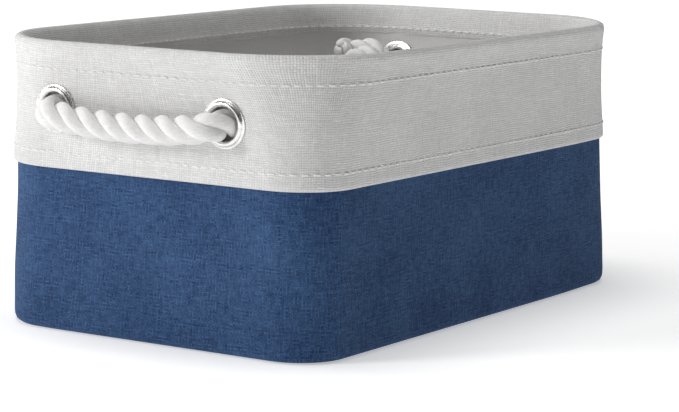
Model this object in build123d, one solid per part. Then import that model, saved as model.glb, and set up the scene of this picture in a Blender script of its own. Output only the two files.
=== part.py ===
from build123d import *

import math
import os

# Fabric storage bin: blue lower wall, folded canvas cuff over a wire rim, and a
# rope handle knotted through two eyelets at each end.
# Millimetres. +X runs along the long side, +Y along the short side, +Z up, and
# the origin is at the middle of the base, on the surface that the bin stands on.

# ---- overall size
LENGTH = 300.0          # over the rim
WIDTH = 198.0           # over the rim
SIDE_DIFF = (LENGTH - WIDTH) / 2     # every level keeps this half-length less half-width

# ---- fabric layers, from outside to inside
OUTER_T = 1.2           # blue face fabric
STIFF_T = 1.4           # bonded stiffener
LINING_T = 0.7          # lining cloth
LAYER_GAP = 0.1         # between neighbouring layers
STIFF_IN = OUTER_T + LAYER_GAP
LINING_IN = STIFF_IN + STIFF_T + LAYER_GAP
INNER_IN = LINING_IN + LINING_T

# ---- levels of a surface: height, half-length, corner radius
BODY = [(0.0, 138.4, 25.2), (1.2, 140.8, 27.6), (3.2, 142.6, 29.2), (8.0, 143.6, 30.0),
        (75.0, 142.9, 36.0), (119.0, 145.2, 48.2), (125.0, 145.5, 49.8)]
CUFF_OUT = [(74.5, 144.4, 37.3), (78.0, 144.6, 37.7), (82.0, 144.4, 37.9),
            (119.5, 146.7, 49.9), (122.0, 147.2, 50.8), (126.0, 149.3, 54.0),
            (129.0, 150.0, 56.0), (131.0, 149.4, 55.5), (132.0, 147.6, 54.0)]
CHANNEL_OUT = [(74.0, 143.0, 36.1), (75.0, 143.0, 36.1), (119.0, 145.3, 48.3),
               (125.2, 145.7, 50.0), (127.0, 148.3, 53.0), (129.0, 148.7, 54.6),
               (130.8, 147.5, 53.6)]
CHANNEL_IN = [(117.0, 141.3, 43.8), (125.2, 141.6, 45.7), (127.6, 143.9, 48.9),
              (130.8, 144.9, 50.9)]
FACING_IN = [(70.0, 140.1, 42.6), (117.0, 140.2, 42.7), (120.0, 140.2, 43.0),
             (125.0, 140.5, 44.6), (128.6, 142.7, 48.0), (131.0, 143.8, 49.9),
             (133.0, 145.8, 51.9)]

# ---- heights of the layers
BASE_SPLIT = 3.2        # base panel meets the wall band here
OUTER_TOP = 122.0       # face fabric and stiffener end inside the cuff
LINING_TOP = 123.5
BOARD_T = 2.0           # board under the floor lining
BOARD_X, BOARD_R = 139.2, 26.0
FLOOR_X, FLOOR_R = 138.9, 25.5

# ---- wire rim
WIRE_R = 1.6
WIRE_Z = 128.6
WIRE_X, WIRE_CORNER = 146.4, 52.4
CRIMP_R = 1.9
CRIMP_LENGTH = 24.0
CRIMP_GAP = 0.05        # between the sleeve and the wire

# ---- stitching: height, half-length, corner radius of each row
THREAD_R = 0.35
STITCH_ROWS = {
    "cuff_top_stitch": (119.4, 147.2, 50.4),
    "cuff_hem_stitch": (81.8, 144.9, 38.4),
    "cuff_inside_stitch": (120.0, 139.7, 42.5),
}

# ---- eyelets
EYELET_Y = 46.0         # half the spacing of the two on one end
EYELET_Z = 101.5
EYELET_FACE = 145.7     # middle of the flange's back, measured from the middle of the bin
WALL_LEAN = 3.5         # degrees that the cuff leans outward there
BORE_R = 7.5
BARREL_R = 8.2
BEAD_R = 10.0
FLANGE_R = 11.0
FLANGE_T = 0.6
BEAD_H = 1.8
WASHER_R = 12.0
WASHER_T = 0.8
WASHER_FACE = 139.75    # washer side that presses on the lining
CURL_R = 9.6
CURL_T = 0.8
WALL_HOLE_R = 8.45

# ---- rope handles
ROPE_R = 6.4
HINGE_OUT = 3.0         # swing axis, outside the flange's back
BEND_R = 6.8            # from the eyelet into the run along the wall
DROOP_DEG = 9.0         # slope of the run where it leaves the bend
HINGE_GAP = 0.5
PULL_TRAVEL = 14.0      # slack between the knot and the eyelet
KNOT_GAP = 1.0
KNOT_LENGTH = 26.0
KNOT_R = 17.0
KNOT_NECK_R = 7.0
END_R = 5.8             # free rope end beyond the knot
END_LENGTH = 6.0

HINGE_X = EYELET_FACE + HINGE_OUT
CURL_BACK = WASHER_FACE - WASHER_T - LAYER_GAP - CURL_T
KNOT_X = CURL_BACK - KNOT_GAP - PULL_TRAVEL
TAIL_X = HINGE_X - ROPE_R - HINGE_GAP


def level(z, half_length, radius):
    """A rounded rectangle face of the bin's plan at one height."""
    plan = RectangleRounded(2 * half_length, 2 * (half_length - SIDE_DIFF), radius)
    return Pos(0, 0, z) * plan


def surface(levels, inset=0.0):
    """The solid inside a surface, from its lowest level to its highest."""
    return loft([level(z, half - inset, radius - inset) for z, half, radius in levels],
                ruled=True)


def at_height(levels, z):
    """The level at a height between the listed ones."""
    for low, high in zip(levels, levels[1:]):
        if low[0] <= z <= high[0]:
            share = (z - low[0]) / (high[0] - low[0])
            return (z, low[1] + share * (high[1] - low[1]), low[2] + share * (high[2] - low[2]))
    raise ValueError(z)


def between(levels, bottom, top):
    """The stretch of a surface's levels from one height to another."""
    inside = [item for item in levels if bottom < item[0] < top]
    return [at_height(levels, bottom)] + inside + [at_height(levels, top)]


def eyelet_holes():
    """Four cylinders that open the end walls for the eyelets."""
    through = Rotation(0, 90, 0) * Cylinder(WALL_HOLE_R, 2 * LENGTH)
    return [Pos(0, side * EYELET_Y, EYELET_Z) * through for side in (-1, 1)]


def layer(outer_in, inner_in, bottom, top, holes):
    """One cloth layer of the wall, between two insets of the body's surface."""
    levels = between(BODY, bottom, top)
    shell = surface(levels, outer_in) - surface(levels, inner_in)
    for hole in holes:
        shell -= hole
    return shell


def base_panel():
    """The flat blue base with its turned-up rim."""
    outside = surface(between(BODY, 0.0, BASE_SPLIT - LAYER_GAP))
    inside = surface(between(BODY, OUTER_T, BASE_SPLIT - LAYER_GAP), OUTER_T)
    return outside - inside


def flat_sheet(bottom, thickness, half_length, radius):
    """A flat rounded sheet lying in the base."""
    return extrude(level(bottom, half_length, radius), thickness)


def cuff(holes):
    """Canvas outside the wall, over the wire and down the inside as a facing."""
    channel = surface(CHANNEL_OUT) - surface(CHANNEL_IN)
    band = surface(CUFF_OUT) - channel - surface(FACING_IN)
    for hole in holes:
        band -= hole
    return band


def ring(z, half_length, corner, radius):
    """A round rod bent to the plan's outline."""
    path = level(z, half_length, corner).face().outer_wire()
    start = Plane(origin=path @ 0, z_dir=path % 0)
    return sweep(start * Circle(radius), path=path)


def wire_crimp():
    """The sleeve over the wire's butt joint, in the middle of the back side."""
    sleeve = Cylinder(CRIMP_R, CRIMP_LENGTH) - Cylinder(WIRE_R + CRIMP_GAP, CRIMP_LENGTH)
    return Pos(0, WIRE_X - SIDE_DIFF, WIRE_Z) * Rotation(0, 90, 0) * sleeve


def turned(points):
    """A solid turned about X from (distance, radius) points."""
    outline = make_face(Polyline([(x, r) for x, r in points], close=True))
    return revolve(outline, axis=Axis.X)


def eyelet():
    """Flange, rolled bead, barrel and inside curl of one eyelet, facing +X."""
    face = EYELET_FACE
    flange = turned([(face, BORE_R), (face, FLANGE_R), (face + FLANGE_T, FLANGE_R),
                     (face + FLANGE_T, BORE_R)])
    curl_top = CURL_BACK + CURL_T
    barrel = turned([(CURL_BACK, BORE_R), (CURL_BACK, CURL_R), (curl_top, CURL_R),
                     (curl_top, BARREL_R), (face + FLANGE_T, BARREL_R),
                     (face + FLANGE_T, BORE_R)])
    foot = face + FLANGE_T / 2
    crown = (face + BEAD_H, (BORE_R + BEAD_R) / 2)
    arc = ThreePointArc((foot, BORE_R), crown, (foot, BEAD_R))
    bead = revolve(make_face([arc, Line((foot, BEAD_R), (foot, BORE_R))]), axis=Axis.X)
    return flange + barrel + bead


def washer():
    """The backing washer on the lining, held by the eyelet's curl."""
    inner = BARREL_R + LAYER_GAP
    back = WASHER_FACE - WASHER_T
    return turned([(back, inner), (back, WASHER_R), (WASHER_FACE, WASHER_R),
                   (WASHER_FACE, inner)])


def leaned(piece):
    """A piece of an eyelet turned to lie flat against the leaning wall."""
    seat = (EYELET_FACE, 0, 0)
    return Pos(*seat) * Rotation(0, WALL_LEAN, 0) * Pos(-EYELET_FACE, 0, 0) * piece


def rope_tail():
    """Rope through the eyelet, from beside the swing axis to the knot."""
    return turned([(KNOT_X, 0), (KNOT_X, ROPE_R), (TAIL_X, ROPE_R), (TAIL_X, 0)])


def rope_knot():
    """The stopper knot's outer shape with the short free end."""
    back = KNOT_X - KNOT_LENGTH
    end = back - END_LENGTH
    swell = ThreePointArc((KNOT_X, KNOT_NECK_R), ((KNOT_X + back) / 2, KNOT_R),
                          (back, KNOT_NECK_R))
    rest = Polyline((back, KNOT_NECK_R), (back, END_R), (end, END_R), (end, 0),
                    (KNOT_X, 0), (KNOT_X, KNOT_NECK_R))
    return revolve(make_face([swell, rest]), axis=Axis.X)


def rope_loop():
    """The run outside the wall, with a ball at each eyelet for the swing."""
    out = Vector(1, 0, 0)
    along = Vector(0, -1, 0).rotate(Axis.X, DROOP_DEG)
    start = Vector(HINGE_X, EYELET_Y, EYELET_Z)
    centre = start + along * BEND_R
    bend_mid = centre + (out - along).normalized() * BEND_R
    bend_end = centre + out * BEND_R
    half_chord = bend_end.Y
    drop = half_chord * math.tan(math.radians(DROOP_DEG) / 2)
    lowest = Vector(bend_end.X, 0, bend_end.Z - drop)
    across = [Vector(point.X, -point.Y, point.Z) for point in (bend_end, bend_mid, start)]
    path = Wire([Edge.make_three_point_arc(start, bend_mid, bend_end),
                 Edge.make_three_point_arc(bend_end, lowest, across[0]),
                 Edge.make_three_point_arc(*across)])
    loop = sweep(Plane(origin=start, z_dir=out) * Circle(ROPE_R), path=path)
    for centre_y in (-EYELET_Y, EYELET_Y):
        loop += Pos(HINGE_X, centre_y, EYELET_Z) * Sphere(ROPE_R)
    return loop


def wall_parts():
    """The fabric layers, the boards, the wire and the stitching."""
    holes = eyelet_holes()
    floor = OUTER_T + LAYER_GAP
    lining_floor = floor + BOARD_T + LAYER_GAP
    parts = {
        "outer_wall": layer(0, OUTER_T, BASE_SPLIT, OUTER_TOP, holes),
        "outer_base": base_panel(),
        "wall_stiffener": layer(STIFF_IN, STIFF_IN + STIFF_T, lining_floor, OUTER_TOP, holes),
        "lining_wall": layer(LINING_IN, INNER_IN, lining_floor, LINING_TOP, holes),
        "lining_floor": flat_sheet(lining_floor, LINING_T, FLOOR_X, FLOOR_R),
        "base_board": flat_sheet(floor, BOARD_T, BOARD_X, BOARD_R),
        "canvas_cuff": cuff(holes),
        "rim_wire": ring(WIRE_Z, WIRE_X, WIRE_CORNER, WIRE_R),
        "wire_crimp": wire_crimp(),
    }
    for name, (z, half_length, corner) in STITCH_ROWS.items():
        parts[name] = ring(z, half_length, corner, THREAD_R)
    return parts


def end_parts(side, turn):
    """One end's rope handle, eyelets and washers, named after the end."""
    parts = {f"rope_{side}_loop": turn(rope_loop())}
    for row, row_sign in (("front", -1), ("back", 1)):
        at_eyelet = Pos(0, row_sign * EYELET_Y, EYELET_Z)
        pieces = {f"eyelet_{side}_{row}": leaned(eyelet()),
                  f"washer_{side}_{row}": leaned(washer()),
                  f"rope_{side}_{row}_tail": rope_tail(),
                  f"rope_{side}_{row}_knot": rope_knot()}
        for name, piece in pieces.items():
            parts[name] = turn(at_eyelet * piece)
    return parts


def main():
    parts = wall_parts()
    parts.update(end_parts("right", lambda piece: piece))
    parts.update(end_parts("left", lambda piece: mirror(piece, about=Plane.YZ)))
    os.makedirs("parts", exist_ok=True)
    for name, piece in parts.items():
        piece.label = name
        export_step(piece, f"parts/{name}.step")


if __name__ == "__main__":
    main()
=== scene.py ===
import math
import random

import bmesh
import bpy
import numpy as np
from mathutils import Matrix, Vector, noise


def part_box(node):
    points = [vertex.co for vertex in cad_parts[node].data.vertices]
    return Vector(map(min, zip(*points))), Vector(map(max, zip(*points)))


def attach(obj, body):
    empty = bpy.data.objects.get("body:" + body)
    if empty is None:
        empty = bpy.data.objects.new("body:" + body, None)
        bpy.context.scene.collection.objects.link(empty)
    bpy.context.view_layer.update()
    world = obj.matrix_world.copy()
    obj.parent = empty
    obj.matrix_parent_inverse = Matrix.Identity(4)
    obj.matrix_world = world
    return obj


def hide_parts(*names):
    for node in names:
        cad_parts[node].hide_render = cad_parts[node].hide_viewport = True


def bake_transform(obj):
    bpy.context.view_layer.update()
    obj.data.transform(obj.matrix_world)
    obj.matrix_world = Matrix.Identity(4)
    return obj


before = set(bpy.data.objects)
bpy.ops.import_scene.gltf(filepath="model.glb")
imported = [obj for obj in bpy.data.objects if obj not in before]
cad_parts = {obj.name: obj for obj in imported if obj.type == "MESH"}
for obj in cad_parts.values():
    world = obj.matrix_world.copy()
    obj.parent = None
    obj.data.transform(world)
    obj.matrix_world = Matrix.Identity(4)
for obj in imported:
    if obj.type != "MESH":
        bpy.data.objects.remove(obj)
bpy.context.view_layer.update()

MM = 0.001
rng = random.Random(7)

# ------------------------------------------------------------------ sizes
# Levels of a surface are (height, half-length, corner radius), in millimetres, as in the
# CAD model. A level's half-width is its half-length less SIDE_DIFF.
rim_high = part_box("canvas_cuff")[1]
HALF_LENGTH = rim_high.x / MM
SIDE_DIFF = (rim_high.x - rim_high.y) / MM
CUFF_OUTSIDE = [
    (74.7, 143.6, 36.6), (74.4, 144.1, 37.0), (74.8, 144.5, 37.3), (76.2, 144.65, 37.5),
    (80.0, 144.6, 37.8), (85.0, 144.7, 38.9), (91.0, 144.95, 40.8), (99.0, 145.4, 43.3),
    (107.0, 146.0, 45.9), (113.0, 146.6, 48.1), (119.4, 147.3, 50.1), (124.0, 148.1, 52.2),
    (127.6, 149.0, 54.3), (129.8, 149.35, 55.2), (131.2, 148.9, 55.0), (131.9, 147.6, 54.0),
    (131.9, 146.2, 52.7)]
CUFF_INSIDE = [
    (131.7, 145.2, 51.6), (130.5, 143.9, 50.2), (128.4, 142.8, 48.6), (125.6, 141.7, 46.6),
    (122.8, 140.9, 44.6), (121.2, 140.4, 43.5), (120.2, 140.05, 43.0), (119.2, 140.2, 42.9),
    (117.8, 140.3, 42.8), (117.0, 140.5, 42.8), (116.8, 140.9, 43.2)]
CUFF_HIDDEN = [
    (118.0, 141.2, 43.7), (124.0, 141.7, 45.6), (129.6, 144.6, 50.4), (130.4, 146.4, 52.8),
    (128.6, 148.3, 54.2), (124.0, 147.0, 51.2), (116.0, 145.2, 47.6), (90.0, 143.8, 40.0),
    (76.0, 143.1, 36.2)]
WALL_OUTSIDE = [
    (0.35, 132.0, 18.0), (0.05, 136.0, 21.6), (0.0, 139.2, 24.6), (0.35, 141.0, 26.3),
    (1.3, 142.4, 27.6), (3.0, 143.2, 28.5), (6.0, 143.55, 29.3), (12.0, 143.65, 30.2),
    (25.0, 143.6, 31.6), (42.0, 143.3, 33.2), (60.0, 143.0, 34.8), (75.0, 142.9, 36.0),
    (84.0, 143.2, 38.4)]
WALL_HIDDEN = [
    (84.2, 142.2, 37.4), (75.0, 141.8, 34.9), (42.0, 142.2, 32.1), (12.0, 142.6, 29.3),
    (3.6, 142.1, 27.5), (1.5, 140.0, 25.4), (1.2, 132.0, 18.0)]
LINING_INSIDE = [
    (3.9, 138.7, 25.0), (6.0, 139.3, 25.9), (12.0, 140.0, 26.8), (30.0, 139.9, 28.4),
    (60.0, 139.6, 31.0), (90.0, 140.0, 37.0), (112.0, 141.1, 42.6), (119.5, 141.2, 43.9)]
LINING_HIDDEN = [
    (119.6, 141.5, 44.2), (90.0, 140.7, 37.6), (60.0, 140.2, 31.6), (30.0, 140.5, 29.0),
    (12.0, 140.6, 27.4), (4.2, 139.2, 25.6)]
STIFFENER_OUTSIDE = [
    (3.6, 141.4, 27.3), (12.0, 142.2, 29.0), (42.0, 141.9, 31.8), (75.0, 141.5, 34.6),
    (100.0, 142.8, 40.0), (119.0, 143.8, 46.8), (121.8, 144.0, 47.6)]
STIFFENER_INSIDE = [
    (121.8, 142.9, 46.4), (119.0, 142.6, 45.6), (100.0, 141.6, 38.9), (75.0, 140.4, 33.4),
    (42.0, 140.8, 30.6), (12.0, 141.0, 27.8), (3.6, 140.2, 26.1)]
WIRE_OUTSIDE = [
    (128.6, 148.0, 54.0), (129.4, 147.8, 53.8), (130.0, 147.2, 53.2), (130.2, 146.4, 52.4),
    (130.0, 145.6, 51.6), (129.4, 145.0, 51.0), (128.6, 144.8, 50.8)]
WIRE_INSIDE = [
    (127.8, 145.0, 51.0), (127.2, 145.6, 51.6), (127.0, 146.4, 52.4), (127.2, 147.2, 53.2),
    (127.8, 147.8, 53.8)]

# columns of the plan: half of a long side, a corner, a short side
LONG_COLUMNS, CORNER_COLUMNS, SHORT_COLUMNS = 90, 72, 96
STITCH_PITCH = 5.0
STITCH_LENGTH = 3.7
THREAD_R = 0.42
STITCH_SIDES, STITCH_RINGS = 8, 9
STITCH_TILT = 0.10
STITCH_BULGE = 0.25     # how far a stitch's middle stands off the cloth, in thread radii
STITCH_DIP = 1.3        # and how far its ends go in
PUCKER_DEPTH = 4.5      # cloth is drawn in within this of the row's place, across the wall
PUCKER_HEIGHT = 9.0     # and up and down
GROOVE_DEPTH, GROOVE_WIDTH = 0.12, 1.0
PUFF_HEIGHT, PUFF_AWAY, PUFF_WIDTH = 0.04, 2.6, 2.2
ROWS = {  # stitch row: height, half-length and corner radius at the cloth, outward sign
    "cuff_top_stitch": (119.4, 147.3, 50.1, 1),
    "cuff_hem_stitch": (81.8, 144.63, 38.1, 1),
    "cuff_inside_stitch": (120.2, 140.05, 43.0, -1),
}

# how much tighter the front left corner is, in mm of radius
CREASE_HEIGHTS = (0.0, 8.0, 75.0, 100.0, 114.0, 128.0)
CREASE_DROP = (4.0, 5.5, 11.0, 14.0, 9.0, 2.0)
# how far in the two loose corners stand, at three heights
SETTLE_HEIGHTS = (8.0, 75.0, 131.0)
SETTLE_LEFT = (3.9, 1.7, 1.8)
SETTLE_RIGHT = (2.4, 2.9, 4.6)
# they stand in from none at the first of these places to all at the second
SETTLE_FROM_X, SETTLE_TO_X = 62, 144
SETTLE_FROM_Y, SETTLE_TO_Y = 44, 94
SETTLE_SHARE_X, SETTLE_SHARE_Y = 0.55, 0.84

# handling waves in the cloth: length of the long and the short ones, and the short ones' share
LONG_WAVE, SHORT_WAVE, SHORT_WAVE_SHARE = 46, 17, 0.35
FOOT_HEIGHT = 12        # the waves die out below this height

# eyelets, as in the CAD model
WALL_LEAN = math.radians(3.5)
EYELET_PRESS = 17.0     # cloth bends towards the eyelet's plane within this of its axis
PRESS_FADE = 5.5        # over this distance
PRESS_ZONE = 25         # and only this near to an end of the bin
HOLE_R = 8.7
HOLE_ZONE = 15
SIDES = {"left": -1, "right": 1}
EYELETS = {}
for side, side_sign in SIDES.items():
    for row in ("front", "back"):
        low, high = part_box(f"eyelet_{side}_{row}")
        EYELETS[side, row] = ((low.y + high.y) / 2 / MM, (low.z + high.z) / 2 / MM)
EYELET_FACE = 145.7
EYELET_Z = 101.5
EYELET_Y = EYELETS["left", "back"][0]

# rope
ROPE_D = 13.0
ROPE_LAY = 33.0         # length of one turn of the strands
STRANDS, YARNS, AROUND = 3, 14, 42
YARN_LAY = -26.0        # the yarns of a strand turn the other way
STRAND_SHARE = 0.256    # a strand's radius, and its distance from the middle, in rope diameters
STRAND_FLAT = 1.10      # a strand is this much wider than it is thick
LUMP_LENGTH, LUMP_SHARE = 9, 0.05
YARN_DEPTH = 0.055      # depth of the groove between two yarns, in strand radii
STRAND_GIRTH = 20.0     # place on the cloth of a strand's whole way round
STRAND_APART = 25


# ------------------------------------------------------------------ plan of the bin
def plan(half_length, radius, height):
    """Points and outward normals of one level, anticlockwise from the middle of the back.
    The front left corner is creased tighter than the others."""
    half_width = half_length - SIDE_DIFF
    straight_x, straight_y = half_length - radius, half_width - radius
    tight = radius - np.interp(height, CREASE_HEIGHTS, CREASE_DROP)
    tight_x, tight_y = half_length - tight, half_width - tight
    points, normals = [], []

    def run(start, end, count, normal):
        for i in range(count):
            share = i / count
            points.append([start[k] + share * (end[k] - start[k]) for k in range(2)])
            normals.append(normal)

    def corner(centre, first_degrees, turn):
        for i in range(CORNER_COLUMNS):
            angle = math.radians(first_degrees + 90 * i / CORNER_COLUMNS)
            normal = (math.cos(angle), math.sin(angle))
            points.append([centre[k] + turn * normal[k] for k in range(2)])
            normals.append(normal)

    run((0, half_width), (-straight_x, half_width), LONG_COLUMNS, (0, 1))
    corner((-straight_x, straight_y), 90, radius)
    run((-half_length, straight_y), (-half_length, -tight_y), SHORT_COLUMNS, (-1, 0))
    corner((-tight_x, -tight_y), 180, tight)
    run((-tight_x, -half_width), (straight_x, -half_width), 2 * LONG_COLUMNS, (0, -1))
    corner((straight_x, -straight_y), 270, radius)
    run((half_length, -straight_y), (half_length, straight_y), SHORT_COLUMNS, (1, 0))
    corner((straight_x, straight_y), 0, radius)
    run((straight_x, half_width), (0, half_width), LONG_COLUMNS, (0, 1))
    return np.array(points), np.array(normals)


def arc_length(points):
    """How far along a closed line each of its points is, and its whole length."""
    steps = np.linalg.norm(np.roll(points, -1, axis=0) - points, axis=1)
    return np.concatenate([[0], np.cumsum(steps)[:-1]]), steps.sum()


def smooth(levels, step):
    """A Catmull-Rom curve through the levels, with a point about every step mm."""
    p = np.array(levels, float)
    p = np.vstack([2 * p[0] - p[1], p, 2 * p[-1] - p[-2]])
    made = []
    for i in range(1, len(p) - 2):
        span = np.linalg.norm((p[i + 1] - p[i])[:2])
        count = max(1, round(span / step))
        for k in range(count):
            t = k / count
            made.append(0.5 * (2 * p[i] + (p[i + 1] - p[i - 1]) * t
                               + (2 * p[i - 1] - 5 * p[i] + 4 * p[i + 1] - p[i + 2]) * t ** 2
                               + (3 * p[i] - p[i - 1] - 3 * p[i + 1] + p[i + 2]) * t ** 3))
    made.append(p[-2])
    return np.array(made)


# ------------------------------------------------------------------ meshes
def mesh_object(name, vertices, faces, body, uv=None, shade_smooth=True):
    """A mesh in millimetres as a piece that rides on a body."""
    mesh = bpy.data.meshes.new(name)
    mesh.from_pydata((np.asarray(vertices, float) * MM).tolist(), [], faces)
    if uv is not None:
        layer = mesh.uv_layers.new(name="Weave")
        layer.data.foreach_set("uv", np.asarray(uv, np.float32).ravel())
    mesh.polygons.foreach_set("use_smooth", [shade_smooth] * len(mesh.polygons))
    mesh.update()
    piece = bpy.data.objects.new(name, mesh)
    bpy.context.scene.collection.objects.link(piece)
    if body:
        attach(piece, body)
    return piece


def shell(name, rings, along, across, body):
    """A closed band: rings is rows x columns x 3, and its rows close on themselves too.
    along and across are each point's place on the cloth, in millimetres."""
    rows, columns = rings.shape[:2]
    faces, uv = [], []
    for r in range(rows):
        r2 = (r + 1) % rows
        v_low = across[r]
        v_high = across[r2] if r2 else across[-1] + 1.0
        for c in range(columns):
            c2 = (c + 1) % columns
            faces.append((r * columns + c, r * columns + c2, r2 * columns + c2, r2 * columns + c))
            u_low = along[c]
            u_high = along[c2] if c2 else along[-1] + (along[1] - along[0])
            uv += [(u_low, v_low), (u_high, v_low), (u_high, v_high), (u_low, v_high)]
    uv = np.array(uv) * MM
    return mesh_object(name, rings.reshape(-1, 3), faces, body, uv)


def turned(name, profile, place, body, segments=96):
    """A closed profile of (distance along the axis, radius), turned about the axis."""
    angles = [2 * math.pi * i / segments for i in range(segments)]
    vertices = []
    for distance, radius in profile:
        for angle in angles:
            at = Vector((distance, radius * math.cos(angle), radius * math.sin(angle)))
            vertices.append(place @ at)
    faces, count = [], len(profile)
    for r in range(count):
        for c in range(segments):
            c2, r2 = (c + 1) % segments, (r + 1) % count
            faces.append((r * segments + c, r2 * segments + c, r2 * segments + c2,
                          r * segments + c2))
    return mesh_object(name, vertices, faces, body)


def fix_normals(piece):
    """Makes every face look outward."""
    work = bmesh.new()
    work.from_mesh(piece.data)
    bmesh.ops.recalc_face_normals(work, faces=work.faces)
    work.to_mesh(piece.data)
    work.free()


# ------------------------------------------------------------------ cloth shapes
def ripple(x, y, z, scale, seed):
    """Smooth noise about -1 to 1, of about one wave in scale mm."""
    return noise.noise(Vector((x / scale + seed, y / scale - seed, z / scale)))


def press_to_eyelets(x, y, z, half_length, face, lean):
    """Cloth near an eyelet lies in the eyelet's own plane."""
    side_sign = 1 if x > 0 else -1
    nearest = min(math.hypot(y - ey, z - EYELET_Z) for ey in (-EYELET_Y, EYELET_Y))
    if abs(x) < half_length - PRESS_ZONE or nearest > EYELET_PRESS:
        return x
    flat = side_sign * (face + (z - EYELET_Z) * math.tan(lean))
    share = min(1.0, (EYELET_PRESS - nearest) / PRESS_FADE)
    share = share * share * (3 - 2 * share)
    return x + share * (flat - x)


def ease(value, low, high):
    """From 0 at low to 1 at high, gently at both ends."""
    share = np.clip((value - low) / (high - low), 0, 1)
    return share * share * (3 - 2 * share)


def settle_piece(piece):
    """The back left and front right corners stand in a little, as the cloth has settled."""
    places = np.empty(len(piece.data.vertices) * 3)
    piece.data.vertices.foreach_get("co", places)
    x, y, z = (places.reshape(-1, 3) / MM).T
    pull = np.where(x < 0, np.interp(z, SETTLE_HEIGHTS, SETTLE_LEFT),
                    np.interp(z, SETTLE_HEIGHTS, SETTLE_RIGHT))
    pull *= np.where(x * y < 0, 1.0, 0.0)
    pull *= (ease(np.abs(x), SETTLE_FROM_X, SETTLE_TO_X)
             * ease(np.abs(y), SETTLE_FROM_Y, SETTLE_TO_Y))
    moved = np.column_stack([x - SETTLE_SHARE_X * pull * np.sign(x),
                             y - SETTLE_SHARE_Y * pull * np.sign(y), z])
    piece.data.vertices.foreach_set("co", (moved * MM).ravel())
    piece.data.update()


def pierce(piece):
    """Cuts the cloth out inside the eyelets, under their beads and washers."""
    work = bmesh.new()
    work.from_mesh(piece.data)
    cut = []
    for face in work.faces:
        x, y, z = face.calc_center_median() / MM
        nearest = math.hypot(abs(y) - EYELET_Y, z - EYELET_Z)
        if abs(x) > HALF_LENGTH - HOLE_ZONE and nearest < HOLE_R:
            cut.append(face)
    bmesh.ops.delete(work, geom=cut, context="FACES")
    work.to_mesh(piece.data)
    work.free()


def cloth_band(name, seen, hidden, body, wave=0.0, seed=0.0, face=None, rows=(), step=1.3):
    """A closed cloth band from its seen profile and its hidden back profile. wave is the
    height of its handling waves, face the place of its eyelets, rows its stitches."""
    seen_levels = smooth(seen, step)
    hidden_levels = np.array(hidden, float)
    levels = np.vstack([seen_levels, hidden_levels])
    rings, normals = [], None
    for z, half_length, radius in levels:
        points, normals = plan(half_length, radius, z)
        rings.append(np.column_stack([points, np.full(len(points), z)]))
    rings = np.array(rings)
    middle = levels[len(seen_levels) // 2]
    along, whole = arc_length(plan(middle[1], middle[2], middle[0])[0])
    for r in range(len(seen_levels)):
        z, half_length = levels[r][0], levels[r][1]
        lift = min(1.0, max(0.0, z / FOOT_HEIGHT))
        for c in range(rings.shape[1]):
            x, y = rings[r, c, 0], rings[r, c, 1]
            push = wave * lift * (ripple(x, y, z, LONG_WAVE, seed)
                                  + SHORT_WAVE_SHARE * ripple(x, y, z, SHORT_WAVE, seed))
            for row in rows:
                push += stitch_pull(row, along[c] / whole, z, half_length)
            rings[r, c, 0] += normals[c, 0] * push
            rings[r, c, 1] += normals[c, 1] * push
            if face is not None:
                rings[r, c, 0] = press_to_eyelets(rings[r, c, 0], y, z, half_length, face,
                                                  WALL_LEAN)
    profile = np.column_stack([levels[:, 0], levels[:, 1]])
    across = np.concatenate([[0], np.cumsum(np.linalg.norm(np.diff(profile, axis=0), axis=1))])
    piece = shell(name, rings, along, across, body)
    settle_piece(piece)
    fix_normals(piece)
    pierce(piece)
    return piece


def stitch_pull(row, share, z, half_length):
    """How a row of stitches draws the cloth in at its holes, and puckers it beside."""
    height, at, _, outward = ROWS[row]
    if abs(half_length - at) > PUCKER_DEPTH or abs(z - height) > PUCKER_HEIGHT:
        return 0.0
    phase = (share * STITCH_COUNTS[row]) % 1.0
    hole = math.cos(2 * math.pi * phase) * 0.5 + 0.5
    groove = math.exp(-((z - height) / GROOVE_WIDTH) ** 2)
    beside = math.exp(-((abs(z - height) - PUFF_AWAY) / PUFF_WIDTH) ** 2)
    strength = 0.8 + 0.4 * noise.noise(Vector((share * 40, height, 0)))
    return outward * (-GROOVE_DEPTH * groove * hole * strength
                      + PUFF_HEIGHT * beside * math.cos(2 * math.pi * phase + math.pi))


STITCH_COUNTS = {row: round(arc_length(plan(at, radius, height)[0])[1] / STITCH_PITCH)
                 for row, (height, at, radius, _) in ROWS.items()}


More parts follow.
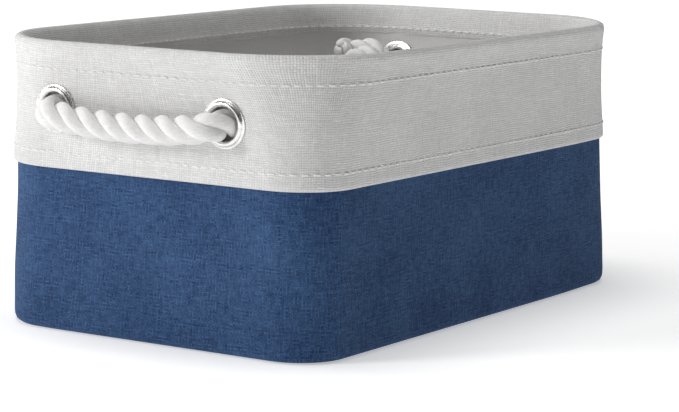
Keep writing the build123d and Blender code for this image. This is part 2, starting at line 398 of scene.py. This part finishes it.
# ------------------------------------------------------------------ stitches
def stitch_row(name, body="bin"):
    """Separate stitches lying along a row, each dipping into the cloth at both ends."""
    height, at, radius, outward = ROWS[name]
    points, normals = plan(at, radius, height)
    closed = np.vstack([points, points[:1]])
    normals = np.vstack([normals, normals[:1]])
    along = np.concatenate([[0], np.cumsum(np.linalg.norm(np.diff(closed, axis=0), axis=1))])
    count, around, steps = STITCH_COUNTS[name], STITCH_SIDES, STITCH_RINGS
    vertices, faces = [], []
    for i in range(count):
        centre = (i + 0.5) * along[-1] / count
        tilt = STITCH_TILT * rng.uniform(-1, 1)
        length = STITCH_LENGTH * rng.uniform(0.94, 1.05)
        first = len(vertices)
        for k in range(steps):
            t = k / (steps - 1) * 2 - 1
            s = (centre + t * length / 2) % along[-1]
            place = [np.interp(s, along, closed[:, a]) for a in range(2)]
            normal = [np.interp(s, along, normals[:, a]) for a in range(2)]
            thick = THREAD_R * math.sqrt(max(0.04, 1 - t ** 8)) * (1 + 0.05 * math.cos(9 * t))
            lift = outward * THREAD_R * (STITCH_BULGE - STITCH_DIP * t ** 6)
            for j in range(around):
                angle = 2 * math.pi * j / around
                out = lift + outward * thick * math.cos(angle)
                vertices.append((place[0] + normal[0] * out,
                                 place[1] + normal[1] * out,
                                 height + tilt * t + thick * math.sin(angle)))
        for k in range(steps - 1):
            for j in range(around):
                a = first + k * around + j
                b = first + k * around + (j + 1) % around
                faces.append((a, b, b + around, a + around))
        faces.append(tuple(first + j for j in reversed(range(around))))
        faces.append(tuple(first + (steps - 1) * around + j for j in range(around)))
    piece = mesh_object(f"stitches_{name}", vertices, faces, body)
    settle_piece(piece)
    fix_normals(piece)
    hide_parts(name)
    return piece


# ------------------------------------------------------------------ eyelets
def eyelet_place(side_sign, y, z):
    """From an eyelet's own axes, +X outward from the flange's back, to the bin's."""
    turn = Matrix.Rotation(math.radians(180), 4, "Z") if side_sign < 0 else Matrix.Identity(4)
    lean = Matrix.Rotation(WALL_LEAN, 4, "Y")
    return Matrix.Translation((side_sign * EYELET_FACE, y, z)) @ turn @ lean


def arc(centre, radius, first, last, count):
    """Points of an arc in the profile plane, angles in degrees from the outward axis."""
    made = []
    for i in range(count):
        angle = math.radians(first + (last - first) * i / (count - 1))
        made.append((centre[0] + radius * math.cos(angle), centre[1] + radius * math.sin(angle)))
    return made


def eyelet_profile():
    """The pressed shell: barrel, rolled bead, flange and the curl over the washer."""
    made = [(-7.2, 7.75), (-6.0, 7.5), (-3.0, 7.5), (-0.6, 7.5)]
    made += arc((0.65, 8.75), 1.25, -82, 78, 15)
    made += [(0.82, 10.05), (0.62, 10.25)]
    made += arc((0.30, 10.72), 0.28, 0, 180, 7)
    made += [(0.0, 10.3), (0.0, 8.6), (-0.3, 8.2), (-6.2, 8.2)]
    made += arc((-6.85, 9.0), 0.62, 20, 150, 8)
    made += arc((-6.85, 8.9), 0.9, 165, 250, 6)
    return made


def washer_profile():
    """A thin ring with rounded edges, domed a little."""
    return [(-5.65, 8.4), (-5.45, 9.6), (-5.5, 11.2), (-5.72, 11.9), (-5.95, 12.0),
            (-6.2, 11.85), (-6.35, 11.2), (-6.4, 9.6), (-6.35, 8.45)]


def eyelets():
    """The four eyelets and their washers, as turned shells."""
    metal = []
    for (side, row), (y, z) in EYELETS.items():
        place = eyelet_place(SIDES[side], y, z)
        for kind, profile in (("eyelet", eyelet_profile()), ("washer", washer_profile())):
            piece = turned(f"{kind}_shell_{side}_{row}", profile, place, "bin")
            fix_normals(piece)
            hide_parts(f"{kind}_{side}_{row}")
            metal.append(piece)
    return metal


# ------------------------------------------------------------------ rope
def nurbs_line(points, spacing):
    """Points about spacing mm apart along the NURBS line of a route in mm."""
    curve = bpy.data.curves.new("route", "CURVE")
    curve.dimensions = "3D"
    curve.resolution_u = 24
    spline = curve.splines.new("NURBS")
    spline.points.add(len(points) - 1)
    for point, at in zip(spline.points, points):
        point.co = (at[0], at[1], at[2], 1)
    spline.order_u = 3
    spline.use_endpoint_u = True
    carrier = bpy.data.objects.new("route", curve)
    mesh = bpy.data.meshes.new_from_object(carrier)
    line = np.array([v.co for v in mesh.vertices], float)
    bpy.data.objects.remove(carrier)
    bpy.data.curves.remove(curve)
    bpy.data.meshes.remove(mesh)
    at = np.concatenate([[0], np.cumsum(np.linalg.norm(np.diff(line, axis=0), axis=1))])
    even = np.linspace(0, at[-1], max(2, round(at[-1] / spacing) + 1))
    return np.stack([np.interp(even, at, line[:, k]) for k in range(3)], axis=1), even


def frames(line):
    """Unit tangent, and two sideways directions that turn no more than they must."""
    tangents = np.gradient(line, axis=0)
    tangents /= np.linalg.norm(tangents, axis=1)[:, None]
    side = np.cross(tangents[0], (0.0, 0.1, 1.0))
    side /= np.linalg.norm(side)
    sides = [side]
    for i in range(1, len(line)):
        side = side - tangents[i] * np.dot(side, tangents[i])
        side /= np.linalg.norm(side)
        sides.append(side)
    sides = np.array(sides)
    return tangents, sides, np.cross(tangents, sides)


def twisted_rope(name, line, along, body, phase=0.0, thickness=None, flare=None):
    """Three twisted strands about a line, each grooved by its own yarns."""
    tangents, sides, ups = frames(line)
    scale = np.ones(len(line)) if thickness is None else thickness
    spread = np.ones(len(line)) if flare is None else flare
    angles = 2 * math.pi * np.arange(AROUND) / AROUND
    vertices, faces, uv = [], [], []
    for strand in range(STRANDS):
        first = len(line) * AROUND * strand
        turn = phase + 2 * math.pi * along / ROPE_LAY + 2 * math.pi * strand / STRANDS
        outward = np.cos(turn)[:, None] * sides + np.sin(turn)[:, None] * ups
        centres = line + outward * (ROPE_D * STRAND_SHARE * scale * spread)[:, None]
        sideways = np.cross(tangents, outward)
        lumps = [noise.noise(Vector((at / LUMP_LENGTH, strand * 7.3, phase))) for at in along]
        strand_r = ROPE_D * STRAND_SHARE * scale * (1 + LUMP_SHARE * np.array(lumps))
        grooves = YARNS * (angles[None, :] + 2 * math.pi * along[:, None] / YARN_LAY)
        radius = strand_r[:, None] * (1 - YARN_DEPTH * np.abs(np.sin(grooves / 2)) ** 6)
        rings = (centres[:, None, :]
                 + outward[:, None, :] * (radius * np.cos(angles))[:, :, None]
                 + sideways[:, None, :] * (radius * np.sin(angles) * STRAND_FLAT)[:, :, None])
        vertices.append(rings.reshape(-1, 3))
        for i in range(len(line) - 1):
            for j in range(AROUND):
                a, b = first + i * AROUND + j, first + i * AROUND + (j + 1) % AROUND
                faces.append((a, b, b + AROUND, a + AROUND))
                for step, turn_at in ((0, j), (0, j + 1), (1, j + 1), (1, j)):
                    uv.append((along[i + step],
                               turn_at * STRAND_GIRTH / AROUND + STRAND_APART * strand))
        for end, order in ((0, -1), (len(line) - 1, 1)):
            loop = [first + end * AROUND + j for j in range(AROUND)][::order]
            faces.append(tuple(loop))
            uv += [(along[end], 2.0 * j / AROUND) for j in range(AROUND)]
    vertices = np.vstack(vertices)
    piece = mesh_object(name, vertices, faces, body, np.array(uv) * MM)
    fix_normals(piece)
    return piece


def handle_route(side_sign):
    """From inside the front knot, out through its eyelet, along the wall and back in."""
    half = [(118.0, 46.0, 101.3), (126.0, 46.0, 101.5), (134.0, 46.0, 101.5),
            (142.5, 46.0, 101.4), (150.6, 45.9, 101.0), (154.6, 42.6, 100.1),
            (154.7, 35.0, 98.9), (154.4, 24.5, 97.7), (154.2, 13.0, 97.0)]
    front = [(side_sign * x, -y, z) for x, y, z in half]
    back = [(side_sign * x, y, z + 0.2) for x, y, z in half][::-1]
    return front + [(side_sign * 154.1, 0.5, 96.8)] + back


HANDLE_SPACING = 0.8    # mm between the rings of a handle


def handle(side):
    """One rope handle, from knot to knot."""
    side_sign = SIDES[side]
    line, along = nurbs_line(handle_route(side_sign), HANDLE_SPACING)
    piece = twisted_rope(f"rope_{side}", line, along, None, phase=0.7 + side_sign)
    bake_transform(piece)
    tails = [f"rope_{side}_{row}_tail" for row in ("front", "back")]
    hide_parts(f"rope_{side}_loop", *tails)
    knots = [knot(side, row) for row in ("front", "back")]
    return [piece] + knots


KNOT_WRAP_R, KNOT_TURNS, KNOT_POINTS = 10.6, 1.85, 12     # points for each turn
KNOT_START = 0.9        # angle of the first wrap, in radians
# the free end after the last wrap: distance in wrap radii, radians past the wrap, mm back
KNOT_END = ((1.1, 0.385, 1.65), (1.35, 0.6875, 4.95), (1.42, 0.88, 7.15))
KNOT_NECK = 7.0         # the wraps stand this far in from the solid's inner end
KNOT_FIRST_GROW, KNOT_GROW_RATE = 0.45, 2.6     # the wraps widen from the neck to full size
KNOT_WRAP_START, KNOT_WRAP_SPARE = 3.5, 12.0    # mm that the wraps leave at either end
KNOT_TIP = 0.05         # share of the rope that tapers at its free end
KNOT_TIGHT, KNOT_SQUEEZE = 0.90, 0.06           # how much thinner a knotted rope is
TIP_THIN, TIP_GATHER = 0.30, 0.16
KNOT_SPACING = 0.9      # mm between the rings of a knot


def knot(side, row):
    """A stopper knot: the end turns back, wraps the rope and comes out beside it."""
    side_sign = SIDES[side]
    row_sign = -1 if row == "front" else 1
    low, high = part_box(f"rope_{side}_{row}_knot")
    centre_y, centre_z = (low.y + high.y) / 2 / MM, EYELET_Z
    inner = min(abs(low.x), abs(high.x)) / MM + KNOT_NECK
    outer = max(abs(low.x), abs(high.x)) / MM
    route = [(outer + 1.5, 0, 0), (outer - 7, 0, 0), (outer - 13, 0.3, 0), (inner + 5, 1.5, 1.0)]
    for i in range(round(KNOT_POINTS * KNOT_TURNS) + 1):
        angle = KNOT_START + 2 * math.pi * i / KNOT_POINTS
        share = i / (KNOT_POINTS * KNOT_TURNS)
        grow = min(1.0, KNOT_FIRST_GROW + share * KNOT_GROW_RATE)
        x = inner + KNOT_WRAP_START + (outer - inner - KNOT_WRAP_SPARE) * share
        route.append((x, KNOT_WRAP_R * grow * math.cos(angle),
                      KNOT_WRAP_R * grow * math.sin(angle)))
    last = KNOT_START + 2 * math.pi * KNOT_TURNS
    for out, past, back in KNOT_END:
        angle = last + past
        route.append((route[-1][0] - back, KNOT_WRAP_R * out * math.cos(angle),
                      KNOT_WRAP_R * out * math.sin(angle)))
    placed = [(side_sign * x, centre_y + row_sign * y, centre_z + z) for x, y, z in route]
    line, along = nurbs_line(placed, KNOT_SPACING)
    share = along / along[-1]
    thickness = KNOT_TIGHT - KNOT_SQUEEZE * np.sin(np.pi * np.clip(share, 0, 1))
    tip = np.clip((share - (1 - KNOT_TIP)) / KNOT_TIP, 0, 1)
    thickness *= 1 - TIP_THIN * tip ** 3
    flare = 1 - TIP_GATHER * tip ** 2
    piece = twisted_rope(f"knot_{side}_{row}", line, along, f"{side}_pull",
                         phase=0.3 * row_sign, thickness=thickness, flare=flare)
    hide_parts(f"rope_{side}_{row}_knot")
    return piece


# ------------------------------------------------------------------ materials
class Shader:
    """A principled material, with short calls for its nodes."""

    def __init__(self, name, **constants):
        self.made = bpy.data.materials.new(name)
        self.made.use_nodes = True
        self.tree = self.made.node_tree
        self.bsdf = self.tree.nodes["Principled BSDF"]
        for key, value in constants.items():
            self.bsdf.inputs[key.replace("_", " ")].default_value = value

    def put(self, socket, value):
        if isinstance(value, bpy.types.NodeSocket):
            self.tree.links.new(value, socket)
        else:
            socket.default_value = value

    def maths(self, operation, *values):
        made = self.tree.nodes.new("ShaderNodeMath")
        made.operation = operation
        for socket, value in zip(made.inputs, values):
            self.put(socket, value)
        return made.outputs[0]

    def times(self, first, second):
        return self.maths("MULTIPLY", first, second)

    def plus(self, first, second):
        return self.maths("ADD", first, second)

    def minus(self, first, second):
        return self.maths("SUBTRACT", first, second)

    def vector(self, x, y, z=0.0):
        made = self.tree.nodes.new("ShaderNodeCombineXYZ")
        for socket, value in zip(made.inputs, (x, y, z)):
            self.put(socket, value)
        return made.outputs[0]

    def cloth_place(self):
        """Where a point is on the cloth, in millimetres along and across."""
        uv = self.tree.nodes.new("ShaderNodeUVMap")
        uv.uv_map = "Weave"
        apart = self.tree.nodes.new("ShaderNodeSeparateXYZ")
        self.put(apart.inputs[0], uv.outputs[0])
        return [self.times(apart.outputs[k], 1 / MM) for k in range(2)]

    def object_place(self):
        """Where a point is in the bin's frame, in millimetres."""
        place = self.tree.nodes.new("ShaderNodeTexCoord")
        apart = self.tree.nodes.new("ShaderNodeSeparateXYZ")
        self.put(apart.inputs[0], place.outputs["Object"])
        return [self.times(apart.outputs[k], 1 / MM) for k in range(3)]

    def noise(self, where, detail=2.0, roughness=0.5):
        made = self.tree.nodes.new("ShaderNodeTexNoise")
        self.put(made.inputs["Vector"], where)
        made.inputs["Scale"].default_value = 1.0
        made.inputs["Detail"].default_value = detail
        made.inputs["Roughness"].default_value = roughness
        return made.outputs["Fac"]

    def spread(self, value, low, high, to_low=0.0, to_high=1.0):
        made = self.tree.nodes.new("ShaderNodeMapRange")
        for socket, number in zip(made.inputs, (value, low, high, to_low, to_high)):
            self.put(socket, number)
        return made.outputs[0]

    def mix(self, share, first, second):
        made = self.tree.nodes.new("ShaderNodeMix")
        made.data_type = "RGBA"
        self.put(made.inputs["Factor"], share)
        self.put(made.inputs["A"], first)
        self.put(made.inputs["B"], second)
        return made.outputs["Result"]

    def bump(self, height, strength, distance):
        made = self.tree.nodes.new("ShaderNodeBump")
        made.inputs["Strength"].default_value = strength
        made.inputs["Distance"].default_value = distance
        self.put(made.inputs["Height"], height)
        return made.outputs[0]

    def finish(self, colour, roughness, normal):
        self.put(self.bsdf.inputs["Base Color"], colour)
        self.put(self.bsdf.inputs["Roughness"], roughness)
        self.put(self.bsdf.inputs["Normal"], normal)
        return self.made


DRIFT_SCALE, DRIFT_REACH = 0.07, 2.2    # how the threads wander, in waves per mm and in mm
THREAD_ROUND = 0.6                      # power that flattens a thread's back
RISE_MIDDLE, RISE_SWING = 0.55, 0.42    # height of a thread as it passes over and under
SLUB_ALONG, SLUB_APART = 0.11, 3.7      # thick and thin places, along a thread and between them
TINT_APART = 0.91
PATCH_SCALE, PATCH_SHARE = 0.03, 0.25   # broad pale and dark patches
TINT_LOW, TINT_HIGH = 0.34, 0.68
GAP_SHADE_LOW, GAP_SHADE_HIGH = 0.05, 0.5           # heights between which the painted shade in the gaps between threads shows
FUZZ_SCALE, FUZZ_SHARE = 6.0, 0.25


def woven(name, pitch, pale, deep, gap_shade, slub=0.5, sheen=0.15, streak=0.045):
    """Plain weave: two sets of threads that pass over and under, with slubs in both. pitch is
    the spacing of the threads in mm, slub how uneven they are, and streak how soon a
    thread's colour changes along it."""
    s = Shader(name, Sheen_Weight=sheen, Sheen_Roughness=0.45, Specular_IOR_Level=0.18)
    u, v = s.cloth_place()
    drift = s.noise(s.vector(s.times(u, DRIFT_SCALE), s.times(v, DRIFT_SCALE)), 3.0)
    drift = s.times(s.minus(drift, 0.5), DRIFT_REACH)
    warp = s.maths("DIVIDE", s.plus(u, drift), pitch)
    weft = s.maths("DIVIDE", s.plus(v, drift), pitch)
    warp_index, weft_index = s.maths("FLOOR", warp), s.maths("FLOOR", weft)

    def thread(across, along, index, sign, seed):
        # its round back, how far it rises over the other set, and its own thick and thin
        turn = s.times(across, math.pi)
        back = s.maths("POWER", s.maths("ABSOLUTE", s.maths("SINE", turn)), THREAD_ROUND)
        rise = s.maths("SINE", s.times(s.plus(along, index), math.pi))
        rise = s.maths("MULTIPLY_ADD", rise, RISE_SWING * sign, RISE_MIDDLE)
        lump = s.noise(s.vector(s.times(along, SLUB_ALONG), s.times(index, SLUB_APART), seed),
                       2.0, 0.6)
        tint = s.noise(s.vector(s.times(along, streak), s.times(index, TINT_APART), seed + 9),
                       3.0, 0.65)
        rise = s.plus(rise, s.times(s.minus(lump, 0.5), slub))
        return s.times(back, rise), tint

    warp_height, warp_tint = thread(warp, weft, warp_index, 1.0, 3.0)
    weft_height, weft_tint = thread(weft, warp, weft_index, -1.0, 17.0)
    height = s.maths("MAXIMUM", warp_height, weft_height)
    on_top = s.maths("GREATER_THAN", weft_height, warp_height)
    tint = s.spread(on_top, 0.0, 1.0, warp_tint, weft_tint)
    patch = s.noise(s.vector(s.times(u, PATCH_SCALE), s.times(v, PATCH_SCALE), 5.0), 2.0)
    tint = s.plus(tint, s.times(s.minus(patch, 0.5), PATCH_SHARE))
    colour = s.mix(s.spread(tint, TINT_LOW, TINT_HIGH), deep, pale)
    # painted shade: where the threads sink between and under each other, the colour darkens to
    # the third, dark colour
    colour = s.mix(s.spread(height, GAP_SHADE_LOW, GAP_SHADE_HIGH), gap_shade, colour)
    fuzz = s.noise(s.vector(s.times(u, FUZZ_SCALE), s.times(v, FUZZ_SCALE)), 2.0)
    surface = s.plus(height, s.times(fuzz, FUZZ_SHARE))
    rough = s.spread(tint, 0.3, 0.7, 0.95, 0.82)
    return s.finish(colour, rough, s.bump(surface, 0.9, 0.00035))


def grey(value, warmth=0.0):
    """A grey, a little towards yellow."""
    return (value * (1 + warmth), value, value * (1 - warmth), 1.0)


def rope_cotton():
    """Soft white cotton, its fibres slanting along the strand."""
    s = Shader("rope_cotton", Sheen_Weight=0.25, Sheen_Roughness=0.4, Specular_IOR_Level=0.15)
    u, v = s.cloth_place()
    slant = s.maths("MULTIPLY_ADD", u, 0.9, s.times(v, 1.0))
    fibre = s.noise(s.vector(s.times(u, 0.35), s.times(slant, 3.2)), 4.0, 0.65)
    fluff = s.noise(s.vector(s.times(u, 1.6), s.times(v, 1.6), 4.0), 4.0)
    tint = s.plus(s.times(fibre, 0.7), s.times(fluff, 0.3))
    colour = s.mix(s.spread(tint, 0.36, 0.6), grey(0.78, 0.015), grey(0.98, 0.006))
    surface = s.plus(fibre, s.times(fluff, 0.4))
    return s.finish(colour, s.spread(tint, 0.3, 0.7, 0.95, 0.8), s.bump(surface, 0.8, 0.0004))


def sewing_thread():
    """Pale twisted thread, with painted shade in the grooves of its twist."""
    s = Shader("sewing_thread", Sheen_Weight=0.2, Specular_IOR_Level=0.35)
    x, y, z = s.object_place()
    twist = s.maths("SINE", s.times(s.plus(s.plus(x, y), s.times(z, 1.4)), 7.5))
    fluff = s.noise(s.vector(x, y, z), 3.0)
    # painted shade: the colour follows the twist, darker in its grooves and lighter on its ridges
    share = s.maths("MULTIPLY_ADD", twist, 0.22, fluff)
    colour = s.mix(s.spread(share, 0.2, 0.8), grey(0.78, 0.01), grey(0.93, 0.008))
    return s.finish(colour, s.spread(fluff, 0.3, 0.7, 0.75, 0.55), s.bump(twist, 0.5, 0.0001))


def pressed_metal(name, tone, rough_low, rough_high):
    """Plated sheet metal, with faint polishing marks and handling wear."""
    s = Shader(name, Metallic=1.0)
    x, y, z = s.object_place()
    worn = s.noise(s.vector(*(s.times(place, 0.5) for place in (x, y, z))), 4.0, 0.6)
    marks = s.noise(s.vector(s.times(x, 2.0), s.times(y, 9.0), s.times(z, 2.0)), 2.0)
    dull = tuple(c * 0.82 for c in tone[:3]) + (1.0,)
    colour = s.mix(s.spread(worn, 0.35, 0.7), tone, dull)
    rough = s.spread(worn, 0.35, 0.7, rough_low, rough_high)
    return s.finish(colour, rough, s.bump(marks, 0.12, 0.00005))


def pressed_fibre(name, tone, scale, depth):
    """Felt or board: matted fibres. Nothing of it is seen unless the cloth is cut open."""
    s = Shader(name, Specular_IOR_Level=0.2)
    x, y, z = s.object_place()
    where = s.vector(*(s.times(place, scale) for place in (x, y, z)))
    fibre = s.noise(where, 6.0, 0.7)
    colour = s.mix(s.spread(fibre, 0.35, 0.65), tuple(c * 0.7 for c in tone[:3]) + (1.0,), tone)
    return s.finish(colour, s.spread(fibre, 0.3, 0.7, 0.98, 0.85), s.bump(fibre, 0.6, depth))


def wear(piece, material):
    """Gives a piece its one material."""
    piece.data.materials.clear()
    piece.data.materials.append(material)


# the third colour of each weave is a painted shade for the gaps between its threads
CANVAS = woven("canvas_weave", 1.02, grey(0.88, 0.004), grey(0.72, 0.008), grey(0.32, 0.01),
               slub=0.6, sheen=0.1, streak=0.12)
LINING = woven("lining_weave", 0.62, grey(0.93, 0.006), grey(0.85, 0.01), grey(0.68, 0.012),
               slub=0.3)
BLUE = woven("blue_weave", 0.82, (0.070, 0.148, 0.304, 1), (0.018, 0.046, 0.128, 1),
             (0.007, 0.020, 0.060, 1), slub=0.6, sheen=0.03, streak=0.14)
ROPE = rope_cotton()
THREAD = sewing_thread()
NICKEL = pressed_metal("nickel_plate", (0.88, 0.875, 0.86, 1), rough_low=0.22, rough_high=0.34)
STEEL = pressed_metal("wire_steel", (0.50, 0.50, 0.49, 1), rough_low=0.3, rough_high=0.5)
FELT = pressed_fibre("stiffener_felt", (0.42, 0.42, 0.40, 1), scale=0.9, depth=0.0003)
BOARD = pressed_fibre("base_fibreboard", (0.40, 0.33, 0.24, 1), scale=0.5, depth=0.0002)


# ------------------------------------------------------------------ the bin
BASE_LOW, BASE_HIGH = 0.35, 1.1
BASE_HALF_LENGTH, BASE_RADIUS = 132.5, 18.5
FLOOR_INSET, FLOOR_RADIUS = 0.1, 25.0
BOARD_INSET, BOARD_RADIUS = 2.5, 26.0
PANEL_WAVE = 38         # length of a panel's waves
PANEL_EDGE = 8          # they reach full height at an eighth of the way in from the edge


def flat_panel(name, low, high, half_length, radius, body, wave=0.0, seed=0.0, rings=36):
    """A thin closed panel lying across the bin, gently uneven on top."""
    outline = plan(half_length, radius, low)[0]
    vertices, faces, uv = [], [], []
    columns = len(outline)
    for level in (high, low):
        for r in range(rings):
            share = (r + 1) / rings
            for x, y in outline * share:
                edge = min(1.0, (1 - share) * PANEL_EDGE)
                rise = wave * edge * ripple(x, y, 0, PANEL_WAVE, seed) if level == high else 0.0
                vertices.append((x, y, level + rise))
        vertices.append((0, 0, level))
    per_face = rings * columns + 1
    for side in range(2):
        base = side * per_face
        for c in range(columns):
            c2 = (c + 1) % columns
            made = [(base + per_face - 1, base + c, base + c2)]
            for r in range(rings - 1):
                a = base + r * columns
                made.append((a + c, a + columns + c, a + columns + c2, a + c2))
            for face in made:
                faces.append(face)
                uv += [vertices[i][:2] for i in face]
    for c in range(columns):
        c2 = (c + 1) % columns
        a = (rings - 1) * columns
        face = (a + c, per_face + a + c, per_face + a + c2, a + c2)
        faces.append(face)
        uv += [vertices[i][:2] for i in face]
    piece = mesh_object(name, vertices, faces, body, np.array(uv) * MM)
    settle_piece(piece)
    fix_normals(piece)
    return piece


cuff = cloth_band("cuff_cloth", CUFF_OUTSIDE + CUFF_INSIDE, CUFF_HIDDEN, "bin",
                  wave=0.22, seed=3.1, face=EYELET_FACE, rows=tuple(ROWS))
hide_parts("canvas_cuff")
wear(cuff, CANVAS)

wall = cloth_band("wall_cloth", WALL_OUTSIDE, WALL_HIDDEN, "bin",
                  wave=0.35, seed=11.7)
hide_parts("outer_wall")
wear(wall, BLUE)

base = flat_panel("base_cloth", BASE_LOW, BASE_HIGH, BASE_HALF_LENGTH, BASE_RADIUS, "bin")
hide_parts("outer_base")
wear(base, BLUE)

lining = cloth_band("lining_cloth", LINING_INSIDE, LINING_HIDDEN, "bin",
                    wave=0.16, seed=23.9)
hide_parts("lining_wall")
wear(lining, LINING)

floor_low, floor_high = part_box("lining_floor")
floor_cloth = flat_panel("lining_floor_cloth", floor_low.z / MM, floor_high.z / MM,
                         floor_high.x / MM - FLOOR_INSET, FLOOR_RADIUS, "bin",
                         wave=0.25, seed=5.0)
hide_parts("lining_floor")
wear(floor_cloth, LINING)

for row in ROWS:
    wear(stitch_row(row), THREAD)
for shell_piece in eyelets():
    wear(shell_piece, NICKEL)
for side in SIDES:
    for rope_piece in handle(side):
        wear(rope_piece, ROPE)

# inner parts, seen only if the cloth is cut open
felt = cloth_band("stiffener_felt", STIFFENER_OUTSIDE, STIFFENER_INSIDE, "bin",
                  step=6.0)
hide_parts("wall_stiffener")
wear(felt, FELT)
wire = cloth_band("rim_wire_ring", WIRE_OUTSIDE, WIRE_INSIDE, "bin")
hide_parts("rim_wire")
wear(wire, STEEL)
board_low, board_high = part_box("base_board")
board = flat_panel("base_board_panel", board_low.z / MM, board_high.z / MM,
                   board_high.x / MM - BOARD_INSET, BOARD_RADIUS, "bin")
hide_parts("base_board")
wear(board, BOARD)
wear(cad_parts["wire_crimp"], STEEL)


# ------------------------------------------------------------------ floor, light, camera
FLOOR_SIZE = 12.0
FLOOR_DROP = 0.0002     # metres below the bin, so that the two don't flicker
GLOW_FROM, GLOW_TO = 200, 1000      # mm from the bin's middle
GLOW_NEAR, GLOW_FAR = 0.42, 0.95
WORLD_LIGHT = 0.06
LIGHTS = [  # name, place and target in metres, size in metres, watts
    ("key", (-1.5, 1.0, 0.75), (0, 0, 0.07), 0.6, 15.2),
    ("side", (-0.5, 1.6, 0.6), (-0.1, 0, 0.07), 0.8, 6),
    ("fill", (0.1, -0.9, 1.7), (0, 0, 0.1), 1.2, 0.6),
    ("top", (0.0, 0.1, 1.9), (0, 0, 0), 1.2, 16.5),
]
CAMERA_YAW, CAMERA_PITCH, CAMERA_ROLL = 33.17, 8.43, 0.79       # degrees
CAMERA_LENS = 140.33
CAMERA_DISTANCE = 1278.7            # mm from the middle of the bin
CAMERA_RIGHT, CAMERA_UP = 8.09, -20.91
MIDDLE_HEIGHT = 66


def stage_floor():
    """A pale paper floor, which glows more further out so that it ends in white."""
    bpy.ops.mesh.primitive_plane_add(size=FLOOR_SIZE, location=(0, 0, -FLOOR_DROP))
    floor = bpy.context.object
    floor.name = "studio_floor"
    s = Shader("studio_paper", Emission_Strength=1.0, Specular_IOR_Level=0.0)
    x, y = s.object_place()[:2]
    away = s.maths("POWER", s.plus(s.times(x, x), s.times(y, y)), 0.5)
    glow = s.spread(away, GLOW_FROM, GLOW_TO, GLOW_NEAR, GLOW_FAR)
    s.put(s.bsdf.inputs["Emission Color"], s.vector(glow, glow, glow))
    s.bsdf.inputs["Base Color"].default_value = grey(0.94)
    s.bsdf.inputs["Roughness"].default_value = 1.0
    wear(floor, s.made)


def area_light(name, place, target, size, watts):
    lamp = bpy.data.lights.new(name, "AREA")
    lamp.shape = "DISK"
    lamp.size = size
    lamp.energy = watts
    made = bpy.data.objects.new(name, lamp)
    bpy.context.scene.collection.objects.link(made)
    made.location = place
    made.rotation_euler = (Vector(target) - Vector(place)).to_track_quat("-Z", "Y").to_euler()


def studio_world(strength):
    world = bpy.data.worlds.new("studio")
    bpy.context.scene.world = world
    world.use_nodes = True
    world.node_tree.nodes["Background"].inputs["Color"].default_value = grey(1.0)
    world.node_tree.nodes["Background"].inputs["Strength"].default_value = strength


def photo_camera():
    """The camera at the bin's front left corner, a little above the rim."""
    yaw, pitch, roll = (math.radians(a) for a in (CAMERA_YAW, CAMERA_PITCH, CAMERA_ROLL))
    ahead = Vector((math.cos(pitch) * math.cos(yaw), math.cos(pitch) * math.sin(yaw),
                    -math.sin(pitch)))
    right = Vector((math.sin(yaw), -math.cos(yaw), 0))
    up = right.cross(ahead)
    right, up = (right * math.cos(roll) + up * math.sin(roll),
                 up * math.cos(roll) - right * math.sin(roll))
    made = bpy.data.cameras.new("photo_camera")
    made.sensor_width = 36
    made.lens = CAMERA_LENS
    made.clip_start = 0.05
    camera = bpy.data.objects.new("photo_camera", made)
    bpy.context.scene.collection.objects.link(camera)
    place = (-ahead * CAMERA_DISTANCE + right * CAMERA_RIGHT + up * CAMERA_UP
             + Vector((0, 0, MIDDLE_HEIGHT))) * MM
    turn = Matrix((right, up, -ahead)).transposed().to_4x4()
    camera.matrix_world = Matrix.Translation(place) @ turn
    bpy.context.scene.camera = camera


stage_floor()
studio_world(WORLD_LIGHT)
for light in LIGHTS:
    area_light(*light)
photo_camera()
bpy.context.scene.view_settings.view_transform = "Standard"
